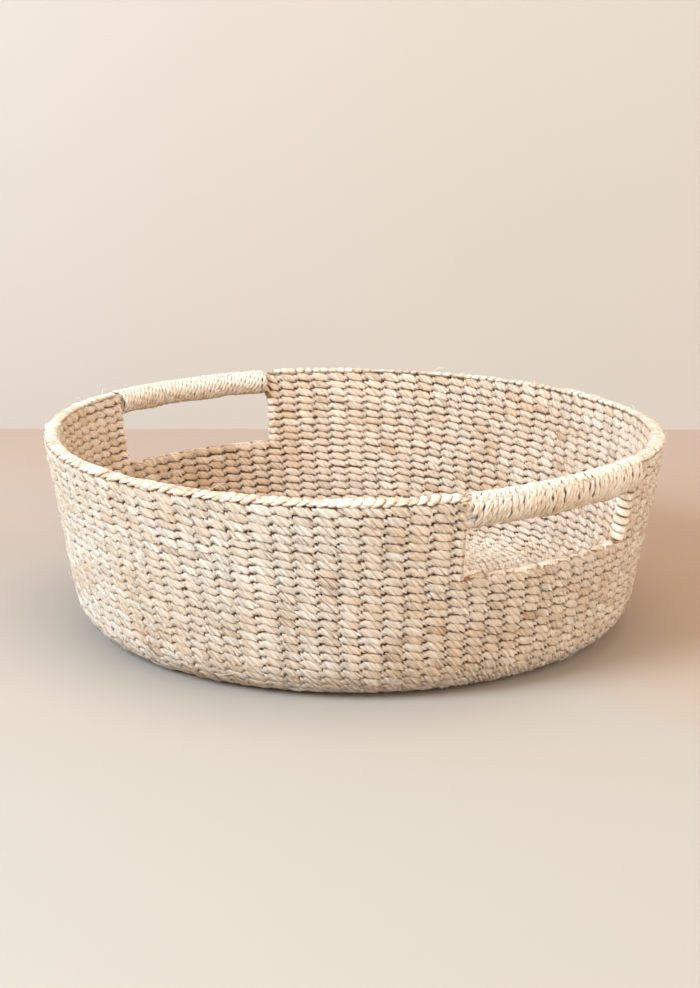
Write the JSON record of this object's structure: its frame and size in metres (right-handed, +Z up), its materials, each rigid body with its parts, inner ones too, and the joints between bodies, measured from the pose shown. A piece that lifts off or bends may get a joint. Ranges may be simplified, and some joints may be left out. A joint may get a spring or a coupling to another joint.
{
  "type": "round tray basket",
  "caption": "Shallow round twined fibre basket with a flat base, flared wall, plaited rim and an open cord-wrapped grip in the wall at each end.",
  "frame": {"origin": "centre of the flat underside, on the floor, midway between the two grips", "axes": "+Z up, the two grips at +X and -X"},
  "size_m": [0.3716, 0.3784, 0.1201],
  "materials": {
    "weft": "matte twined plant fibre",
    "plait": "matte plaited plant fibre",
    "wrap": "tightly wound fine cord",
    "stake": "matte twisted cord"
  },
  "bodies": {
    "root": {"base_weft_lower": "weft", "base_weft_upper": "weft", "lower_wall_weft_outer": "weft", "lower_wall_weft_inner": "weft", "front_panel_weft": "weft", "back_panel_weft": "weft", "rim_weft_outer": "weft", "rim_weft_inner": "weft", "front_rim_plait": "plait", "back_rim_plait": "plait", "right_grip_wrap": "wrap", "left_grip_wrap": "wrap", "long_stake_1": "stake", "long_stake_2": "stake", "long_stake_3": "stake", "long_stake_4": "stake", "long_stake_5": "stake", "long_stake_6": "stake", "long_stake_7": "stake", "long_stake_8": "stake", "cross_stake_1": "stake", "cross_stake_2": "stake", "cross_stake_3": "stake", "cross_stake_4": "stake", "cross_stake_5": "stake", "cross_stake_6": "stake", "cross_stake_7": "stake", "cross_stake_8": "stake", "added_stake_01": "stake", "added_stake_02": "stake", "added_stake_03": "stake", "added_stake_04": "stake", "added_stake_05": "stake", "added_stake_06": "stake", "added_stake_07": "stake", "added_stake_08": "stake", "added_stake_09": "stake", "added_stake_10": "stake", "added_stake_11": "stake", "added_stake_12": "stake", "added_stake_13": "stake", "added_stake_14": "stake", "added_stake_15": "stake", "added_stake_16": "stake", "added_stake_17": "stake", "added_stake_18": "stake", "added_stake_19": "stake", "added_stake_20": "stake", "added_stake_21": "stake", "added_stake_22": "stake", "added_stake_23": "stake", "added_stake_24": "stake", "added_stake_25": "stake", "added_stake_26": "stake", "added_stake_27": "stake", "added_stake_28": "stake", "added_stake_29": "stake", "added_stake_30": "stake", "added_stake_31": "stake", "added_stake_32": "stake"}
  },
  "joints": []
}
